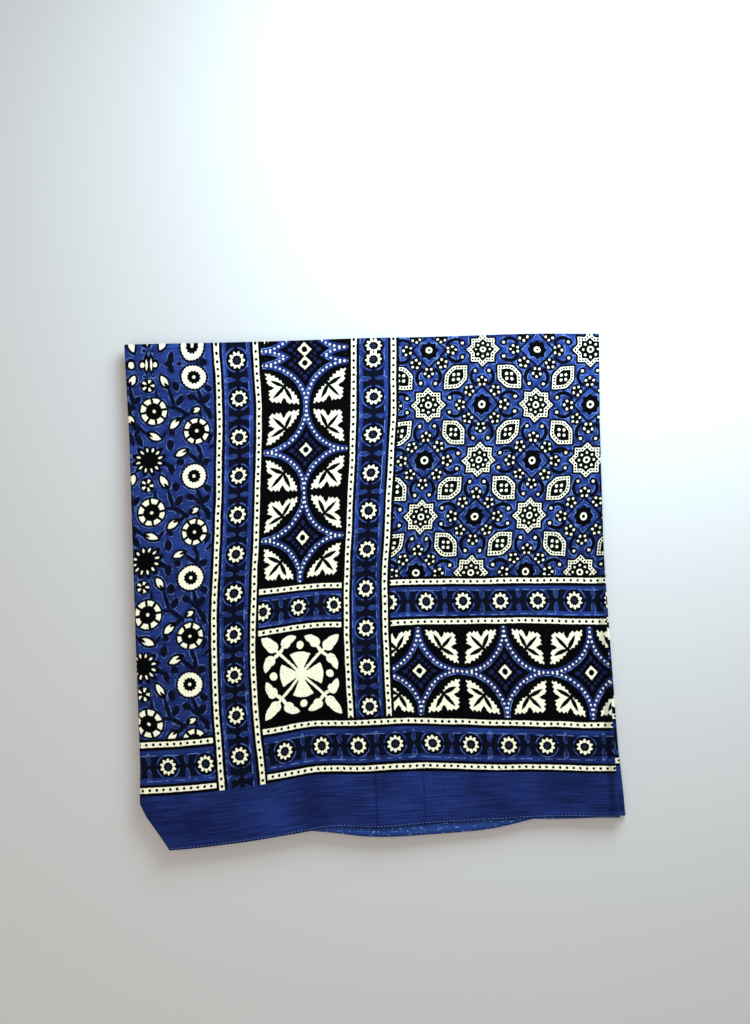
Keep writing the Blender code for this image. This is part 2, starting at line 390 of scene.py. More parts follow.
def lay_turn(before, after, outward):
    """A half circle beyond the side of the stack, from the end of one run to the start of the
    next. The normal goes round with it, out of it or into it."""
    angle = (np.pi * np.arange(1, TURN_STEPS) / TURN_STEPS)[:, None]
    share = angle / np.pi
    low, high = before.height[-1], after.height[0]
    radius = np.abs(high - low) / 2
    down = 1.0 if before.height[-1, 0] > after.height[0, 0] else -1.0
    outside = 1.0 if (outward > 0) == (down > 0) else -1.0
    along = before.along[-1] + (after.along[0] - before.along[-1]) * share
    right = before.right[-1] + (after.right[0] - before.right[-1]) * share
    right = right + outward * radius * np.sin(angle)
    up = before.up[-1] + (after.up[0] - before.up[-1]) * share
    height = (low + high) / 2 + down * radius * np.cos(angle)
    normal_right = outside * outward * np.sin(angle)
    normal_up = outside * down * np.cos(angle)
    return Stretch(before.place[-1], along, right, up, height, normal_right, normal_up)


def lay_the_sheet():
    """Every stretch in order: the tuck, the topmost run and the three below it, and a turn
    between each two of them, left and right by turns."""
    top = lay_top_run()
    run_1 = lay_run(1, 2, top.along[-1] + TURN_LENGTH, False, ())
    run_2 = lay_run(2, 1, run_1.along[-1] + TURN_LENGTH, True, ())
    last_lines = (FAR_D, FAR_C, FAR_B, FAR_A) + LAST_END_LINES
    run_3 = lay_run(3, 0, run_2.along[-1] + TURN_LENGTH, False, last_lines)
    stretches = [lay_tuck()]
    for outward, after in ((-1.0, top), (1.0, run_1), (-1.0, run_2), (1.0, run_3)):
        stretches += [lay_turn(stretches[-1], after, outward), after]
    return stretches


def swell(right, up):
    """1 plus the soft mounds, each a bell curve of the distance from its middle."""
    total = np.ones_like(right)
    for middle, middle_up, reach, reach_up, share in SWELLS:
        total += share * np.exp(-((right - middle) / reach) ** 2 - ((up - middle_up) / reach_up) ** 2)
    return total


def crease_rise(right, up):
    """Two slow waves, and for each crease a bell curve of the distance from its line, which
    wanders a little and fades at both ends."""
    bend = 1.3 * np.sin(up / WAVE_BEND)
    rise = WAVE_RISE * np.sin(right / WAVE_RIGHT + bend) * np.sin(up / WAVE_UP + 0.8)
    for right_1, up_1, right_2, up_2, half_width, height in CREASES:
        length = math.hypot(right_2 - right_1, up_2 - up_1)
        step_right, step_up = (right_2 - right_1) / length, (up_2 - up_1) / length
        run = (right - right_1) * step_right + (up - up_1) * step_up
        off = (up - up_1) * step_right - (right - right_1) * step_up
        off = off + CREASE_WANDER * np.sin(run / CREASE_WAVE + right_1)
        starting = smooth_step(run, -CREASE_FADE_OUT, CREASE_FADE_IN)
        ending = smooth_step(length - run, -CREASE_FADE_OUT, CREASE_FADE_IN)
        rise += height * starting * ending * np.exp(-(off / half_width) ** 2)
    return rise


class FoldedSheet:
    """The middle surface of the sheet: the middle of the double layer, moved along its normal
    by each row's offset, lifted by the swells and, on the topmost layer, by the creases."""

    def __init__(self):
        stretches = lay_the_sheet()
        for name in ("along", "right", "up", "height", "normal_right", "normal_up"):
            setattr(self, name, np.concatenate([getattr(stretch, name) for stretch in stretches]))
        self.over = OVER + 0.0 * self.along
        self.up = self.up + FAR_REACH
        self.right = self.right + self.normal_right * OFFSET
        self.height = self.height + self.normal_up * OFFSET
        lift = np.maximum(0.0, self.height - SOLID_SHEET / 2)
        self.height = self.height + lift * (swell(self.right, self.up) - 1.0)
        top = np.concatenate([np.full(len(s.along), s is stretches[2]) for s in stretches])[:, None]
        from_turn = np.minimum(self.along - DRIFT_ALONG[0], DRIFT_ALONG[-1] - self.along)
        lively = smooth_step(np.where(top, from_turn, 0.0), *CALM_AT_TURN)
        lively = lively * (1 - smooth_step(OVER, *CALM_AT_FAR_FOLD))
        self.height = self.height + lively * crease_rise(self.right, self.up)
        self.right = self.right - MIDDLE_RIGHT
        self.up = self.up - MIDDLE_UP


folded_sheet = FoldedSheet()

# The print. Craftsmen stamp it block by block on the flat cloth: white is where a paste kept
# the indigo off, black is a second dye, and blue is the indigo ground. The plan gives the
# block for each area between the beaded lines, from the near hem to the mirror line and
# from the first end to the middle of the cloth. Both other halves mirror it.
PLAN = {
    # columns: end, line, band, line, vines, A, band, B, panel, C, band, D, field
    "margin": ".............",
    "line 1": ".|o|-|o|-----",
    "band 1": ".|o|l|o|rrrrr",
    "line 2": ".|o|-|o|-----",
    "panel": ".|o|v|o|m|q|c",
    "line 3": ".|o|v|o|-|q|-",
    "band 2": ".|o|v|o|u|q|w",
    "line 4": ".|o|v|o|-|q|-",
    "field": ".|o|v|o|a|q|s",
}
BLOCKS = ("plain", "beads", "rosettes", "arcs", "medallion", "stars", "vines")
PITCH = {"beads": 7.0, "rosettes": 38.0, "arcs": 84.0, "stars": 55.45}
STAMPS = {
    # letter: (block, way it runs, first repeat, pitch as laid, drawn over laid width)
    "|": ("beads", "upright", 0.0, 7.25, 1.0),
    "-": ("beads", "level", 0.0, 6.65, 1.0),
    "o": ("rosettes", "upright", 0.0, 38.7, 1.0),
    "q": ("rosettes", "upright", 7.3, 38.4, 1.0),
    "l": ("rosettes", "level", 302.3, 36.8, 1.0),
    "r": ("rosettes", "level", 380.1, 37.15, 1.0),
    "u": ("rosettes", "level", 364.6, 35.4, 1.0),
    "w": ("rosettes", "level", 490.8, 36.8, 1.0),
    "a": ("arcs", "upright", 7.3, 88.2, 1.02),
    "c": ("arcs", "level", 518.5, 84.5, 0.984),
}
# The field of stars was laid at slightly other pitches than drawn, and leans along the cloth.
STAR_START, STAR_PITCH_ALONG, STAR_PITCH_OVER, STAR_LEAN = 576.9, 54.4, 56.3, 0.022
# The medallion was stamped a little off its middle and askew, the more the further over.
MEDALLION_OFF_ALONG, MEDALLION_OFF_OVER = 0.5, 1.8
MEDALLION_WIDEN, MEDALLION_HEIGHTEN = 1.07, 1.02
MEDALLION_SKEW, MEDALLION_MORE_SKEW = 0.05, 0.0009


def faces_of_grid(shape):
    """The corners of each cell of a grid of points, in order round the printed side."""
    point = np.arange(shape[0] * shape[1]).reshape(shape)
    corners = (point[:-1, :-1], point[1:, :-1], point[1:, 1:], point[:-1, 1:])
    return np.stack(corners, axis=-1).reshape(-1, 4)


def stamp_the_cloth(along, over):
    """The block that prints each face, and the place of each of its corners on that block. A
    band's block counts across from the middle of its band, and along from a repeat."""
    edges_along = np.array(both_sides(*FIRST_END_LINES, LINE_A, LINE_B, LINE_C, LINE_D,
                                      FAR_D, FAR_C, FAR_B, FAR_A, *LAST_END_LINES))
    edges_over = np.array(both_sides(*LEVELS, *MIRRORED_LEVELS))
    column = np.searchsorted(edges_along, along.mean(axis=1))
    row = np.searchsorted(edges_over, over.mean(axis=1))
    rows = [list(letters + letters[-2::-1]) for letters in PLAN.values()]
    letter = np.array(rows + rows[-2::-1])[row, column]
    middles_along = np.pad((edges_along[1:] + edges_along[:-1]) / 2, 1, mode="edge")
    middles_over = np.pad((edges_over[1:] + edges_over[:-1]) / 2, 1, mode="edge")
    off_upright = along - middles_along[column][:, None]
    off_level = over - middles_over[row][:, None]
    from_mirror = np.abs(over - MIRROR)
    middle_column = len(PLAN["field"]) - 1
    from_end = np.where(column[:, None] > middle_column, LINE_A + FAR_A - along, along)
    medallion_level = (off_level - MEDALLION_OFF_OVER) * MEDALLION_HEIGHTEN
    skew = MEDALLION_SKEW + MEDALLION_MORE_SKEW * medallion_level
    medallion_level = medallion_level + off_upright * skew
    block = np.zeros(len(letter), int)
    across, length = np.zeros_like(along), np.zeros_like(along)
    for name, (kind, way, first, laid, width) in STAMPS.items():
        here = letter == name
        block[here] = BLOCKS.index(kind)
        off, run = (off_upright, from_mirror) if way == "upright" else (off_level, from_end)
        across[here] = off[here] * width
        length[here] = (run[here] - first) * PITCH[kind] / laid
    for name, kind, x, y in (
        ("m", "medallion", off_upright * MEDALLION_WIDEN - MEDALLION_OFF_ALONG, medallion_level),
        ("v", "vines", from_end - LINE_A, from_mirror),
        ("s", "stars",
         (from_end - STAR_START + STAR_LEAN * from_mirror) * PITCH["stars"] / STAR_PITCH_ALONG,
         from_mirror * PITCH["stars"] / STAR_PITCH_OVER),
    ):
        here = letter == name
        block[here] = BLOCKS.index(kind)
        across[here], length[here] = x[here], y[here]
    return block, across, length


def weave_sheet(name, sheet):
    """The mesh of the sheet: the grid of its middle surface in metres, with two flat maps in
    millimetres. "cut" is each corner's place on the whole cloth, and "block" its place on the
    block that stamped it."""
    points = np.stack([sheet.right, sheet.up, sheet.height], axis=-1).reshape(-1, 3) * MM
    corners = faces_of_grid(sheet.right.shape)
    mesh = bpy.data.meshes.new(name)
    mesh.from_pydata(points.tolist(), [], corners.tolist())
    along, over = sheet.along.ravel()[corners], sheet.over.ravel()[corners]
    block, across, length = stamp_the_cloth(along, over)
    mesh.uv_layers.new(name="cut").data.foreach_set("uv", np.stack([along, over], axis=-1).ravel())
    mesh.uv_layers.new(name="block").data.foreach_set("uv", np.stack([across, length], axis=-1).ravel())
    mesh.polygons.foreach_set("material_index", block)
    mesh.shade_smooth()
    return mesh


class Measure:
    """A number at each point of the print, as the output of a Math node. Each operator or
    method adds the node that does that sum. A shape is a measure that is the distance in
    millimetres from its edge, negative inside it."""

    def __init__(self, tree, socket):
        self.tree = tree
        self.socket = socket

    def math(self, operation, *others):
        node = self.tree.nodes.new("ShaderNodeMath")
        node.operation = operation
        self.tree.links.new(self.socket, node.inputs[0])
        for slot, other in enumerate(others, start=1):
            if isinstance(other, Measure):
                self.tree.links.new(other.socket, node.inputs[slot])
            else:
                node.inputs[slot].default_value = other
        return Measure(self.tree, node.outputs[0])

    def __add__(self, other):
        return self.math("ADD", other)

    def __sub__(self, other):
        return self.math("SUBTRACT", other)

    def __mul__(self, other):
        return self.math("MULTIPLY", other)

    def size(self):
        """The number without its sign."""
        return self.math("ABSOLUTE")

    def swing(self, half_pitch):
        """Up from 0 to the half pitch and down again, over and over."""
        return self.math("PINGPONG", half_pitch)

    def wave(self, count):
        """The cosine of so many times the angle."""
        return (self * count).math("COSINE")

    def joined(self, *others):
        """The shapes taken together."""
        whole = self
        for other in others:
            whole = whole.math("MINIMUM", other)
        return whole

    def within(self, *others):
        """What the shapes have in common."""
        whole = self
        for other in others:
            whole = whole.math("MAXIMUM", other)
        return whole

    def outside(self, edge=0.0):
        """The edge less the number: where the number is more than the edge."""
        return self.math("MULTIPLY_ADD", -1.0, edge)

    def cut_by(self, other):
        """The shape without the other."""
        return self.within(other.outside())

    def outline(self, out, half):
        """A line round the shape, so far out of its edge."""
        return (self - out).size() - half

    def cover(self, soft):
        """1 inside the shape and 0 outside, with a soft edge."""
        share = self.math("MULTIPLY_ADD", -1.0 / soft, 0.5)
        share.socket.node.use_clamp = True
        return share


class Place:
    """A point of the print in millimetres, as the output of a Vector Math node."""

    def __init__(self, tree, socket):
        self.tree = tree
        self.socket = socket

    def node(self, operation, *others):
        node = self.tree.nodes.new("ShaderNodeVectorMath")
        node.operation = operation
        self.tree.links.new(self.socket, node.inputs[0])
        for slot, other in enumerate(others, start=1):
            if isinstance(other, Place):
                self.tree.links.new(other.socket, node.inputs[slot])
            else:
                node.inputs[slot].default_value = other
        return node

    def distance(self, x=0.0, y=0.0):
        """How far the point lies from (x, y)."""
        return Measure(self.tree, self.node("DISTANCE", (x, y, 0.0)).outputs["Value"])

    def toward(self, x, y):
        """How far the point lies in the direction (x, y), times that vector's length."""
        return Measure(self.tree, self.node("DOT_PRODUCT", (x, y, 0.0)).outputs["Value"])

    def seen_from(self, x, y):
        """The point counted from (x, y)."""
        return Place(self.tree, self.node("SUBTRACT", (x, y, 0.0)).outputs["Vector"])

    def times(self, x, y):
        """The point with both numbers multiplied."""
        return Place(self.tree, self.node("MULTIPLY", (x, y, 0.0)).outputs["Vector"])

    def folded(self):
        """The point mirrored into the quarter where both numbers are positive."""
        return Place(self.tree, self.node("ABSOLUTE").outputs["Vector"])

    def repeated(self, low_x, low_y, high_x, high_y):
        """The point brought into one repeat of the block, from the low to the high corner."""
        node = self.node("WRAP", (high_x, high_y, 1.0), (low_x, low_y, -1.0))
        return Place(self.tree, node.outputs["Vector"])

    def parts(self):
        """The two numbers of the point."""
        node = self.tree.nodes.new("ShaderNodeSeparateXYZ")
        self.tree.links.new(self.socket, node.inputs[0])
        return Measure(self.tree, node.outputs[0]), Measure(self.tree, node.outputs[1])

    def angle(self):
        """The angle of the point round the middle, in radians."""
        x, y = self.parts()
        return y.math("ARCTAN2", x)

    def leaf(self, tip, base, swell):
        """A shape with two pointed ends: what two equal circles through the tip and the base
        have in common, each bulging by the swell beyond the straight line between them."""
        half = math.hypot(tip[0] - base[0], tip[1] - base[1]) / 2
        radius = (half * half + swell * swell) / (2 * swell)
        middle = (tip[0] + base[0]) / 2, (tip[1] + base[1]) / 2
        side = (base[1] - tip[1]) / (2 * half), (tip[0] - base[0]) / (2 * half)
        back = radius - swell
        first = self.distance(middle[0] + side[0] * back, middle[1] + side[1] * back)
        second = self.distance(middle[0] - side[0] * back, middle[1] - side[1] * back)
        return first.within(second) - radius


def place_of(x, y):
    """The point with these two numbers."""
    node = x.tree.nodes.new("ShaderNodeCombineXYZ")
    x.tree.links.new(x.socket, node.inputs[0])
    x.tree.links.new(y.socket, node.inputs[1])
    return Place(x.tree, node.outputs[0])


def quarter_turned(place):
    """The point mirrored into the eighth between the across axis and the diagonal."""
    x, y = place.parts()
    long, short = x.within(y), x.joined(y)
    return long, short, place_of(long, short)


# The cosine of 45 degrees, and more than half the width of any band.
DIAGONAL = math.sqrt(0.5)
WIDE = 100.0


def ring_of_dots(place, depth, count, radius, turn=0.0):
    """Dots evenly round the middle, where the depth is 0: the length of the vector whose parts
    are the depth and the way to the nearest dot round the circle. The turn is in degrees."""
    round_it = (place.angle() + math.radians(360.0 - turn)).swing(math.pi / count)
    off = round_it * place.distance()
    return place_of(depth, off).distance() - radius


def nearest(place, *centres):
    """The distance to the nearest of these points."""
    return place.distance(*centres[0]).joined(*(place.distance(*centre) for centre in centres[1:]))


def draw_plain(place):
    """Blue alone, darker in streaks where the dye stood."""
    streaks = (grey(place, 70.0, 6.0, 3.0) - 0.34) * 13.0
    nowhere = place.distance() + 9.0
    return {"black": nowhere, "white": nowhere, "shade": streaks}


def draw_beads(place):
    """A cream strip with black edges and a black dot at each pitch."""
    half = PITCH["beads"] / 2
    across = place.folded().parts()[0]
    dot = place.repeated(-WIDE, -half, WIDE, half).distance() - 1.0
    return {"black": across - 5.5, "white": (across - 2.95).cut_by(dot)}


def draw_rosettes(place):
    """A ten-petalled ring on a black disc, and between two of them a dark bar with hollow
    sides and a slit in each half. Pale lines run beside and round them."""
    half = PITCH["rosettes"] / 2
    spot = place.repeated(-WIDE, -half, WIDE, half)
    petals = spot.angle().wave(10.0)
    away = spot.distance()
    ring = (away - petals * 1.05 - 7.6).within((petals * -0.35 + 4.1) - away)
    across = spot.folded().parts()[0]
    slit = spot.folded().leaf((13.5, half), (1.0, half), 2.7)
    bar = away.outside(12.6).within(across - 9.6).cut_by(slit)
    disc = away - 9.9
    dusk = bar.joined(across - 1.6)
    side = place.parts()[0]
    lines = (side + 13.3).size().joined(
        (side - 10.6).size(), (disc - 1.3).size() + 0.14, (slit + 0.3).size())
    return {"black": disc, "dusk": dusk, "white": ring, "dim": away - 2.4, "shade": bar,
            "light": lines - 0.35}


def draw_arcs(place):
    """Dotted blue circles that meet in pairs, with a split leaf in each quarter of a circle
    and a diamond in each star between four circles. All folds into a quarter of a repeat."""
    radius = PITCH["arcs"] / 2
    spot = place.repeated(-WIDE, -radius, WIDE, radius)
    side = spot.parts()[0].math("SIGN")
    folded = spot.folded()
    x, y = folded.parts()
    skew = x + y
    white = (skew * DIAGONAL - 5.2).cut_by(folded.distance() - 2.45)
    off_diagonal = ((x - y) * DIAGONAL).size()
    petal = place_of((skew - 13.2) * 0.55, off_diagonal.swing(2.1)).distance() - 1.3
    petal = petal.joined(folded.distance(14.6, 0.0) - 1.7, folded.distance(0.0, 14.6) - 1.7)
    corner = folded.seen_from(radius, radius).folded()
    away = corner.distance()
    dots = ring_of_dots(corner, away - radius, 60, 1.45)
    light = (away - (side * 2.4 + radius)).size() - 0.4
    long, short, eighth = quarter_turned(corner)
    outer_edge = eighth.distance(3.1, -6.7) - 34.8 + eighth.toward(-0.562, 0.827).swing(2.2) * 0.85
    top_edge = (short + long * 0.1).outside(5.4) + long.swing(2.1) * 0.9
    leaf = outer_edge.within(top_edge, (long + short).outside(9.4) * DIAGONAL)
    bay = eighth.leaf((19.6, -4.0), (19.6, 9.6), 2.8)
    side_vein = eighth.leaf((27.0, 7.6), (20.0, 21.0), 1.5)
    middle_vein = eighth.leaf((9.4, 9.4), (21.5, 21.5), 1.35)
    stem = eighth.leaf((18.0, 18.0), (32.0, 32.0), 1.9)
    leaf = leaf.cut_by(bay.joined(side_vein, middle_vein, stem))
    black = (away - radius).size().outside(3.6)
    return {"black": black, "white": white.joined(dots, leaf), "haze": petal, "light": light}


def draw_medallion(place):
    """Four fans in a cross, and on each diagonal a stem with a leaf at its end and two at its
    sides. All folds into an eighth."""
    away = place.distance()
    long, short, eighth = quarter_turned(place.folded())
    fan = (away - 23.2).within((short - long * 0.57) * 0.869)
    stem = ((long - short) * DIAGONAL - 1.8).within(away - 36.0)
    top_leaf = eighth.leaf((41.2, 41.2), (23.2, 23.2), 5.4).joined(eighth.distance(29.0, 29.0) - 6.1)
    side_leaf = eighth.leaf((37.4, 3.9), (31.6, 20.6), 4.3).joined(
        eighth.distance(31.5, 15.5) - 5.6, eighth.leaf((31.0, 16.0), (19.0, 23.8), 2.2))
    bud = eighth.distance(29.3, 0.0) - 4.3
    white = fan.joined(away - 7.8, stem, top_leaf, side_leaf, bud)
    everywhere = away - 2 * WIDE
    return {"black": everywhere, "white": white}


def draw_stars(place):
    """A lattice of white stars, dark stars and lozenges. It folds into the triangle between
    a white star at the corner, a dark star one pitch along and half of the lozenge between."""
    pitch = PITCH["stars"]
    x, y = place.repeated(-pitch, -pitch, pitch, pitch).folded().parts()
    past = (x + y - pitch).within(x * 0.0)
    x, y = x - past, y - past
    long, short = x.within(y), x.joined(y)
    spot = place_of(long, short)
    away = spot.distance()
    star = (long - 12.6).joined((long + short - 18.0) * DIAGONAL)
    edge_dots = nearest(spot, (14.9, 0.0), (12.7, 2.3), (10.5, 4.6), (10.45, 7.5), (10.4, 10.4)) - 0.6
    seeds = nearest(spot, (7.3, 0.0), (5.2, 5.2)) - 1.6
    eye = (away - 3.8).within(away.outside(1.3))
    white = star.cut_by(star + 4.3).cut_by(edge_dots).joined(seeds, eye)
    black = star - 1.0

    middle = pitch / 2
    lozenge = short.outside(middle - 11.8).math("SMOOTH_MAX", (long - short) * DIAGONAL - 10.5, 3.0)
    heart = spot.seen_from(middle, middle)
    lozenge_dots = nearest(
        heart, (-9.6, -9.6), (-6.6, -9.7), (-3.6, -9.7), (-0.6, -9.5), (2.3, -8.7), (4.6, -7.1)) - 0.6
    grains = nearest(heart, (-2.7, -2.7), (2.4, -2.4)) - 1.9
    white = white.joined(lozenge.cut_by(lozenge + 4.3).cut_by(lozenge_dots), grains)
    black = black.joined(lozenge - 1.0)

    dark = place_of(long.outside(pitch), short)
    dark_away = dark.distance()
    disc = dark_away - dark.angle().wave(8.0) * 0.8 - 8.7
    dark_ring = (dark_away - 4.1).within(dark_away.outside(1.4))
    clusters = nearest(dark, (22.8, 0.0), (13.6, 13.6)) - 6.0
    berries = nearest(
        dark, (26.9, 0.0), (24.1, 3.9), (19.5, 2.4), (16.5, 16.5), (17.25, 11.75), (12.95, 9.55)) - 1.65
    knob = spot.distance(21.6, 7.5)
    hook = ((spot.distance(27.8, 2.7) - 9.2).size() - 1.1).within(short.outside(6.3))
    white = white.joined(dark_ring, berries, knob - 1.85)
    loose = disc.joined(clusters, hook, knob - 2.9)
    dark_star = (dark.parts()[0] - 9.8).joined((dark.toward(1.0, 1.0) - 16.0) * DIAGONAL)
    rim = (dark_star - 1.5).size() - 0.85
    joints = (long - 15.0).size().joined((short - 15.0).size()) - 0.28
    light = dark_star.size().joined((loose - 1.4).size()) - 0.35
    # Two stampings of the block overlap here in a dark line.
    overlap = place.leaf((14.0, 102.6), (150.0, 101.4), 0.75)
    return {"black": black.joined(loose, overlap), "dusk": rim, "white": white,
            "light": light.joined(joints)}


VINE_LEAVES = (
    # x, y, reach_x, reach_y (half of the way from end to end), swell
    (-46.3, 4.6, 0.9, 4.8, 2.4), (-42.3, 22.6, 0.6, 4.2, 2.9), (-39.1, 36.9, 2.5, -4.3, 2.5),
    (-27.8, 33.9, 3.8, 1.4, 2.6), (-13.2, 37.0, 2.8, -3.8, 2.6), (-11.2, 26.0, 2.4, 2.8, 2.5),
    (-9.9, 51.8, 0.8, 5.2, 1.9), (-81.6, 35.9, 3.0, -3.6, 2.2), (-92.2, 38.5, 3.2, 2.4, 2.2),
    (-87.0, 43.2, 3.6, 0.8, 2.2), (-47.3, 68.8, 2.4, 1.8, 1.9), (-80.4, 75.4, 3.2, 5.4, 2.2),
    (-48.6, 80.8, 0.4, 5.0, 2.8), (-48.6, -19.5, 0.4, 5.0, 2.8), (-9.5, 76.0, 1.8, -4.8, 1.5),
    (-37.9, -1.7, 2.8, 1.8, 2.6), (-13.0, -0.5, 3.0, -2.4, 2.8), (-32.3, 51.6, 2.6, 1.2, 1.9),
    (-83.2, 62.8, 4.0, 1.6, 2.3),
)
VINE_STEMS = (
    # x_1, y_1, x_2, y_2, bow
    (-87.7, 22.5, -85.0, 43.0, 1.4), (-88.0, 43.5, -90.4, 53.0, 1.2), (-50.0, 24.5, -43.8, 44.6, 1.3),
    (-45.4, 42.4, -30.6, 52.4, 1.6), (-51.5, 42.8, -43.5, 44.4, 1.1), (-21.8, 25.0, -15.8, 44.0, 1.4),
    (-18.0, 40.4, -7.6, 55.4, 1.6), (-25.4, 34.8, -16.4, 43.4, 1.2), (-31.6, 50.4, -39.6, 58.6, 1.4),
    (-22.4, 46.6, -18.4, 53.8, 1.4), (-62.9, 26.0, -61.7, 35.8, 1.0), (-87.2, 58.8, -79.4, 64.4, 1.8),
    (-79.8, 62.0, -84.6, 71.4, 1.5), (-81.0, 62.2, -74.0, 69.4, 1.2), (-59.2, 75.0, -53.2, 67.0, 1.0),
    (-22.8, -19.0, -18.2, -9.0, 1.4), (-18.2, -11.2, -18.6, 1.6, 1.5), (-31.4, -10.6, -18.2, 0.4, 1.6),
    (-58.2, -5.2, -44.6, 4.6, 1.5), (-88.8, 68.6, -85.2, 81.0, 1.3), (-9.6, -14.0, -5.0, -18.0, 1.0),
)
BUDS = (
    # x, y, tip_x, tip_y, base_x, base_y, swell
    (-86.2, 15.6, 3.5, -6.1, -1.0, 5.5, 3.3), (-54.1, 18.3, -3.6, -7.1, 4.0, 5.1, 3.4),
    (-24.7, 46.8, 5.1, -1.0, -3.4, 2.7, 2.6), (-44.4, 59.1, -5.1, 5.9, 4.8, -3.5, 3.4),
    (-88.6, 55.6, -2.0, -4.9, 2.8, 3.6, 2.8), (-66.4, 72.1, 8.4, 2.2, -6.5, -3.3, 3.3),
    (-36.8, -10.5, -6.3, 2.8, 6.0, -2.8, 3.3),
)
WHEELS = (
    # x, y, radius, turn of the first petal in degrees
    (-65.5, 47.1, 13.4, 13.0), (-23.0, 68.4, 12.7, 33.0),
)


def draw_wheel(place, x, y, radius, turn):
    """Eight short petals round a black disc with a dot in it."""
    spot = place.seen_from(x, y)
    away = spot.distance()
    off_petal = (spot.angle() + math.radians(360.0 - turn)).swing(math.pi / 8)
    gap = (off_petal - math.pi / 8) * away + 0.85
    petals = (away - radius).within(away.outside(7.9), gap)
    return petals.joined(away - 2.0), away - (radius + 0.6)


def draw_vines(place):
    """Round flowers, buds and small black leaves on thin stems, in a repeat that is as wide
    as the field of vines. At the mirrored fold of the block stands a split flower."""
    spot = place.repeated(-96.5, -19.0, -4.5, 81.3)
    full = spot.seen_from(-24.0, 13.6)
    away = full.distance()
    teeth = full.angle().wave(24.0) * 0.35
    scallops = away + full.angle().wave(12.0) * 0.5
    white = (away - teeth - 12.0).within(scallops.outside(5.9)).joined(away - 2.0)
    black = away - 12.8
    for x, y, radius, turn in WHEELS:
        petals, rim = draw_wheel(spot, x, y, radius, turn)
        white, black = white.joined(petals), black.joined(rim)
    beyond = place.parts()[1].outside(12.0)
    burst = spot.seen_from(-69.0, -4.9)
    away = burst.distance()
    rays = ring_of_dots(burst, (away - 10.8) * 0.5, 12, 1.45, 15.0).within(beyond)
    white, black = white.joined(rays), black.joined((away - 8.2).within(beyond), rays - 1.0)
    cleft = place.leaf((-71.2, 6.2), (-71.2, -6.2), 1.5).joined(
        place.leaf((-66.6, 6.2), (-66.6, -6.2), 1.5), place.distance(-75.4, 0.0) - 2.5,
        place.distance(-62.6, 0.0) - 2.5, place.distance(-86.5, 0.0) - 3.2)
    white, black = white.joined(cleft), black.joined(cleft - 1.1)
    pin = spot.seen_from(-70.5, 20.7)
    away = pin.distance()
    blobs = (away - 6.4).within(away.outside(2.0), pin.angle().wave(5.0) * -2.2 + 0.3)
    white, black = white.joined(blobs), black.joined(away - 6.6)
    for x, y, tip_x, tip_y, base_x, base_y, swell_out in BUDS:
        bud = spot.leaf((x + tip_x, y + tip_y), (x + base_x, y + base_y), swell_out)
        slit = spot.leaf((x + base_x * 1.5, y + base_y * 1.5), (x - tip_x * 0.1, y - tip_y * 0.1), 1.25)
        white, black = white.joined(bud.cut_by(slit)), black.joined(bud - 0.9)
    dusk = black
    for x, y, reach_x, reach_y, swell_out in VINE_LEAVES:
        dusk = dusk.joined(spot.leaf((x + reach_x, y + reach_y), (x - reach_x, y - reach_y), swell_out))
    for x_1, y_1, x_2, y_2, bow in VINE_STEMS:
        dusk = dusk.joined(spot.leaf((x_1, y_1), (x_2, y_2), bow * 0.9))
    return {"black": black, "dusk": dusk, "white": white, "shade": dusk - 1.2,
            "light": dusk.outline(1.5, 0.26)}


# Colours as the dyes show in plain daylight.
INDIGO_DEEP = (0.007, 0.012, 0.058, 1.0)
INDIGO_BRIGHT = (0.024, 0.053, 0.255, 1.0)
LIGHT_INDIGO = (0.140, 0.240, 0.540, 1.0)
SHADED_INDIGO = (0.006, 0.008, 0.038, 1.0)
VIOLET_BLACK = (0.013, 0.014, 0.032, 1.0)
DUSK_DYE = (0.0030, 0.0036, 0.0105, 1.0)
HAZE = (0.010, 0.012, 0.060, 1.0)
BLACK_DYE = (0.0012, 0.0012, 0.0014, 1.0)
BARE_COTTON = (0.870, 0.800, 0.590, 1.0)
BACK_INDIGO = (0.018, 0.045, 0.190, 1.0)
BACK_FLECKS = (0.200, 0.280, 0.440, 1.0)
EDGE_SOFTNESS = 0.4
# The black spreads a little into the cloth and over the edges of the bare shapes.
BLACK_SPREAD, BARE_LOSS = 0.40, 0.45
# Painted shade where the topmost run curves down into its right fold: this far along the cloth, and how
# much darker.
FOLD_SHADE_LINE, FOLD_SHADE_DARKNESS = 701.0, 0.42
# Painted shade along two sharp old creases that cross the plain margin: how far along the cloth, and how
# much darker.
MARGIN_CREASE_SHADES = ((470.3, 0.36), (517.8, 0.30))
# The middle line of the cloth, this far over it. Painted window light makes the indigo palest along it.
MIDDLE_LINE = 490.0
# The lines of the print wander slowly over this length, and shake over a shorter one.
WANDER_LENGTH, SHAKE_LENGTH, SHAKE = 38.0, 2.6, 0.35
# The threads as noise, and how they and the finish look.
THREAD_LENGTH, THREAD_WIDTH, THREAD_RELIEF, THREAD_SHADE = 22.0, 0.55, 0.2, 0.32
RELIEF_STRENGTH, ROUGHNESS, SHINE, SHEEN, SHEEN_ROUGHNESS = 0.35, 0.86, 0.02, 0.01, 0.5
# How each block is drawn, and how far its lines wander in millimetres.
DRAWINGS = {
    "plain": (draw_plain, 0.0),
    "beads": (draw_beads, 0.7),
    "rosettes": (draw_rosettes, 1.1),
    "arcs": (draw_arcs, 1.6),
    "medallion": (draw_medallion, 1.6),
    "stars": (draw_stars, 1.6),
    "vines": (draw_vines, 1.6),
}


def cloth_map(tree, name):
    """A flat map of the mesh as a Place."""
    node = tree.nodes.new("ShaderNodeUVMap")
    node.uv_map = name
    return Place(tree, node.outputs["UV"])


